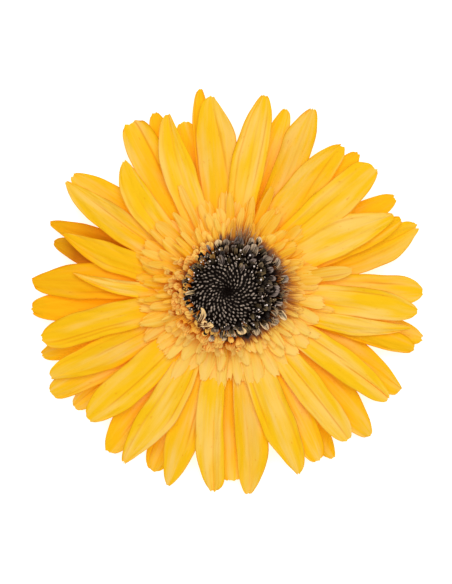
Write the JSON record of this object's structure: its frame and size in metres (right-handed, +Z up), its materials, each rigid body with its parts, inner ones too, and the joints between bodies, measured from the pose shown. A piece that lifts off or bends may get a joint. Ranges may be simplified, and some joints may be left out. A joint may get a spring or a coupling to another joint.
{
  "type": "preserved gerbera daisy",
  "caption": "Preserved yellow gerbera head with drooping ray petals, rows of short inner petals, a dark disc, green bracts and a short cut stem, lying face up.",
  "frame": {"origin": "on the surface that the head lies on, under the middle of its bounding box", "axes": "+Z up, out of the face of the flower; +Y towards the top of the face as the picture shows it; +X to its right"},
  "size_m": [0.0874, 0.091, 0.0202],
  "materials": {
    "ray_petal": "soft matte preserved petal, golden yellow, finely veined",
    "short_petal": "soft matte preserved petal, warm yellow to peach",
    "open_floret": "dull charcoal florets with pale specks",
    "disc_bud": "near-black closed buds with buff tips",
    "bract": "matte dried green, lightly downy",
    "stem": "fibrous pale green stem, cut flat"
  },
  "bodies": {
    "root": {"stem_with_receptacle": "stem", "outer_bracts": "bract", "inner_bracts": "bract", "ray_petal_01": "ray_petal", "ray_petal_02": "ray_petal", "ray_petal_03": "ray_petal", "ray_petal_04": "ray_petal", "ray_petal_05": "ray_petal", "ray_petal_06": "ray_petal", "ray_petal_07": "ray_petal", "ray_petal_08": "ray_petal", "ray_petal_09": "ray_petal", "ray_petal_10": "ray_petal", "ray_petal_11": "ray_petal", "ray_petal_12": "ray_petal", "ray_petal_13": "ray_petal", "ray_petal_14": "ray_petal", "ray_petal_15": "ray_petal", "ray_petal_16": "ray_petal", "ray_petal_17": "ray_petal", "ray_petal_18": "ray_petal", "ray_petal_19": "ray_petal", "ray_petal_20": "ray_petal", "ray_petal_21": "ray_petal", "ray_petal_22": "ray_petal", "ray_petal_23": "ray_petal", "ray_petal_24": "ray_petal", "ray_petal_25": "ray_petal", "ray_petal_26": "ray_petal", "ray_petal_27": "ray_petal", "ray_petal_28": "ray_petal", "ray_petal_29": "ray_petal", "ray_petal_30": "ray_petal", "ray_petal_31": "ray_petal", "ray_petal_32": "ray_petal", "ray_petal_33": "ray_petal", "ray_petal_34": "ray_petal", "ray_petal_35": "ray_petal", "ray_petal_36": "ray_petal", "ray_petal_37": "ray_petal", "ray_petal_38": "ray_petal", "ray_petal_39": "ray_petal", "ray_petal_40": "ray_petal", "ray_petal_41": "ray_petal", "ray_petal_42": "ray_petal", "ray_petal_43": "ray_petal", "ray_petal_44": "ray_petal", "ray_petal_45": "ray_petal", "ray_petal_46": "ray_petal", "ray_petal_47": "ray_petal", "ray_petal_48": "ray_petal", "ray_petal_49": "ray_petal", "ray_petal_50": "ray_petal", "short_petals_outer_row": "short_petal", "short_petals_second_row": "short_petal", "short_petals_third_row": "short_petal", "short_petals_inner_row": "short_petal", "open_floret_ring": "open_floret", "disc_buds": "disc_bud"}
  },
  "joints": []
}
